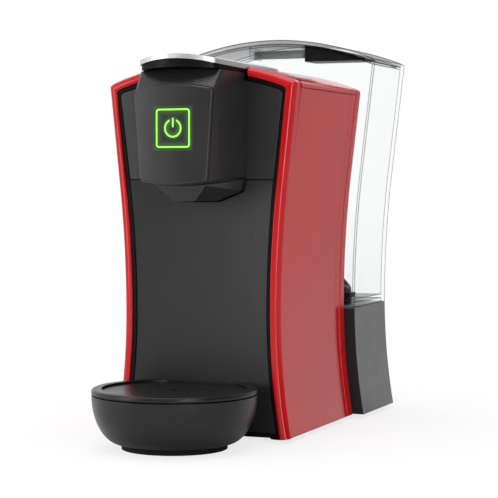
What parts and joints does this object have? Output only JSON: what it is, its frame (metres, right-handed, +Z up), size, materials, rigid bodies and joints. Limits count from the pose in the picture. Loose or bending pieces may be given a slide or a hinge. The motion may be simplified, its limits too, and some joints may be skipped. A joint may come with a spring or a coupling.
{
  "type": "pod coffee machine",
  "caption": "Compact pod coffee machine with an arched gloss shell, lever-operated brewing head, round drip tray and clear lift-off water tank.",
  "frame": {"origin": "centre of the underside of the machine's box, on the table", "axes": "+Z up, front towards -Y, X across the machine"},
  "size_m": [0.156, 0.3018, 0.2753],
  "materials": {
    "gloss_red": "gloss",
    "satin_black": "satin",
    "charcoal_panel": "satin",
    "charcoal_cover": "satin",
    "button_black": "gloss",
    "tray_black": "satin",
    "rubber_black": "matt",
    "silver_lever": "satin metallic paint",
    "clear_tank": "clear moulded plastic",
    "smoked_lid": "smoked clear plastic",
    "grey_plastic": "satin",
    "white_plastic": "satin",
    "steel": "machined",
    "board_green": "lacquered",
    "green_light": "lit"
  },
  "bodies": {
    "machine": {"base_plate": "satin_black", "feet": "rubber_black", "base_screws": "steel", "chassis": "grey_plastic", "front_frame_left": "gloss_red", "front_frame_right": "gloss_red", "front_liner": "satin_black", "side_panel_left": "gloss_red", "side_panel_right": "gloss_red", "top_cover": "gloss_red", "top_deck": "satin_black", "hinge_pin": "steel", "rear_frame": "gloss_red", "rear_panel": "grey_plastic", "upper_front_panel": "charcoal_panel", "head_housing": "charcoal_panel", "head_cover": "charcoal_cover", "pod_holder": "grey_plastic", "drop_chute": "grey_plastic", "spout": "charcoal_panel", "outlet_tube": "satin_black", "switch_board": "board_green", "tank_base": "grey_plastic", "tank_socket": "satin_black", "socket_seal": "rubber_black", "cord_gland": "satin_black", "water_pump": "steel", "pump_mounts": "rubber_black", "heater_block": "steel", "flow_meter": "white_plastic", "control_board": "board_green", "water_hoses": "white_plastic"},
    "lever": {"lever_top": "silver_lever", "lever_underside": "satin_black", "pod_press": "grey_plastic", "piercing_needle": "steel"},
    "pod_drawer": {"drawer_front": "charcoal_panel", "pod_bin": "grey_plastic"},
    "drip_tray": {"tray_bowl": "tray_black", "tray_foot": "rubber_black"},
    "tray_top": {"tray_rim": "tray_black", "drip_grid": "tray_black"},
    "water_tank": {"tank_shell": "clear_tank", "valve_body": "satin_black", "valve_seal": "rubber_black"},
    "tank_valve": {"valve_plunger": "white_plastic"},
    "lid": {"tank_lid": "smoked_lid", "lid_baffle": "satin_black"},
    "button": {"brew_button": "button_black", "button_light": "green_light"}
  },
  "joints": [
    {"name": "lever_hinge", "type": "hinge", "parent": "machine", "child": "lever", "pos_m": [0, -0.00655, 0.246], "axis": [-1, 0, 0], "range_deg": [0, 75]},
    {"name": "drawer_slide", "type": "slide", "parent": "machine", "child": "pod_drawer", "axis": [0, -1, 0], "range_m": [0, 0.085]},
    {"name": "tray_slide", "type": "slide", "parent": "pod_drawer", "child": "drip_tray", "axis": [0, -1, 0], "range_m": [0, 0.06]},
    {"name": "tray_top_lift", "type": "slide", "parent": "drip_tray", "child": "tray_top", "axis": [0, 0, 1], "range_m": [0, 0.05]},
    {"name": "tank_lift", "type": "slide", "parent": "machine", "child": "water_tank", "axis": [0, 0, 1], "range_m": [0, 0.12]},
    {"name": "tank_valve_stroke", "type": "slide", "parent": "water_tank", "child": "tank_valve", "axis": [0, 0, 1], "range_m": [0, 0.003], "stiffness_N_per_m": 60},
    {"name": "lid_lift", "type": "slide", "parent": "water_tank", "child": "lid", "axis": [0, 0, 1], "range_m": [0, 0.05]},
    {"name": "button_press", "type": "slide", "parent": "machine", "child": "button", "axis": [0, 1, 0], "range_m": [0, 0.0015], "stiffness_N_per_m": 800}
  ]
}
